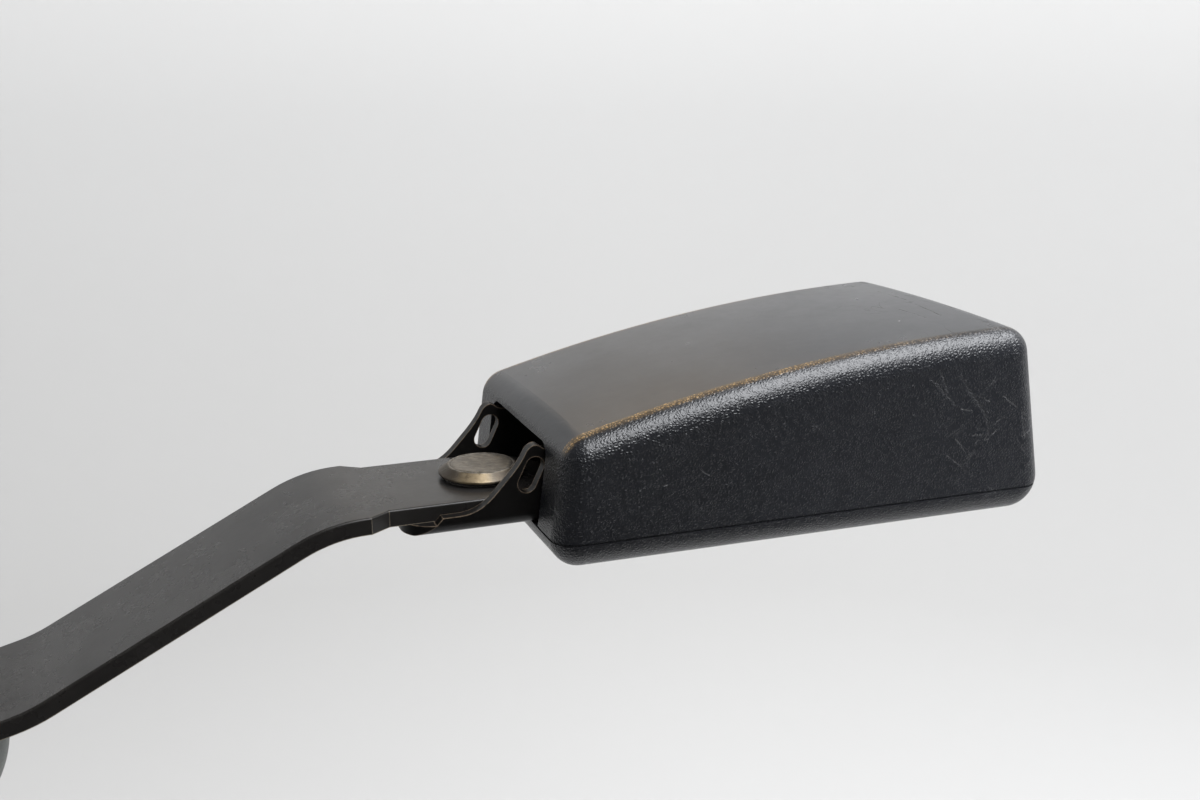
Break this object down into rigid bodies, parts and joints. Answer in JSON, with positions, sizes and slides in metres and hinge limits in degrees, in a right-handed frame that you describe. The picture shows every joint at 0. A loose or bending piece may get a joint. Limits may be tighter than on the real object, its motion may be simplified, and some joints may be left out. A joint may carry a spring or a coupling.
{
  "type": "seat belt buckle",
  "caption": "Seat belt buckle stalk: bent steel strap with an anchor bolt, riveted to a steel frame in a moulded two-shell housing with a push button, lever latch and ejector.",
  "frame": {"origin": "point where the anchor bolt's axis meets the flat seat of its spacer", "axes": "+X from the anchor bolt towards the mouth that takes the tongue, along the steel frame; +Y across the buckle; +Z away from the frame's base, towards the arched upper cover"},
  "size_m": [0.2187, 0.0588, 0.0893],
  "materials": {
    "strap_paint": "satin black paint, worn bright along the upper edges",
    "frame_steel": "satin black, brown where the cut edges are worn",
    "rivet_steel": "dull zinc with brown stains",
    "dark_steel": "dark",
    "pin_steel": "bright zinc",
    "latch_steel": "hardened and zinc plated",
    "spring_steel": "bright drawn wire and strip",
    "slider_plastic": "natural acetal",
    "button_plastic": "red, fine satin",
    "guide_plastic": "black, fine grain",
    "housing_plastic": "black, fine leather grain",
    "spacer_steel": "dark grey-green phosphate",
    "bolt_steel": "black phosphate",
    "retainer_plastic": "natural nylon"
  },
  "bodies": {
    "anchor": {"spacer_bush": "spacer_steel", "anchor_bolt": "bolt_steel", "bolt_retainer": "retainer_plastic", "spring_washer": "spring_steel"},
    "stalk": {"anchor_strap": "strap_paint", "strap_rivet": "rivet_steel", "rivet_washer": "dark_steel", "buckle_frame": "frame_steel", "latch_pivot_pin": "pin_steel", "tongue_guide": "guide_plastic", "upper_cover": "housing_plastic", "lower_cover": "housing_plastic", "button_spring_near": "spring_steel", "button_spring_far": "spring_steel", "ejector_spring": "spring_steel", "latch_spring": "spring_steel"},
    "button": {"release_button": "button_plastic", "button_slider": "slider_plastic", "lock_bar": "pin_steel"},
    "latch": {"latch_plate": "latch_steel"},
    "ejector": {"ejector_slide": "slider_plastic"}
  },
  "joints": [
    {"name": "strap_swivel", "type": "hinge", "parent": "anchor", "child": "stalk", "pos_m": [0, 0, 0], "axis": [-0.2419, 0, 0.9703], "range_deg": [-30, 30]},
    {"name": "button_slide", "type": "slide", "parent": "stalk", "child": "button", "axis": [-1, 0, 0], "range_m": [0, 0.006], "stiffness_N_per_m": 1600, "springref_m": -0.008, "deforming": ["button_spring_near", "button_spring_far"]},
    {"name": "latch_pivot", "type": "hinge", "parent": "stalk", "child": "latch", "pos_m": [0.12579, 0, 0.05099], "axis": [0, -1, 0], "range_deg": [0, 10], "deforming": ["latch_spring"]},
    {"name": "ejector_travel", "type": "slide", "parent": "stalk", "child": "ejector", "axis": [-1, 0, 0], "range_m": [0, 0.015], "stiffness_N_per_m": 300, "springref_m": -0.012, "deforming": ["ejector_spring"]}
  ],
  "couplings": [
    {"joint": "latch_pivot", "follows": "button_slide", "rad_per_m": 29.089}
  ]
}
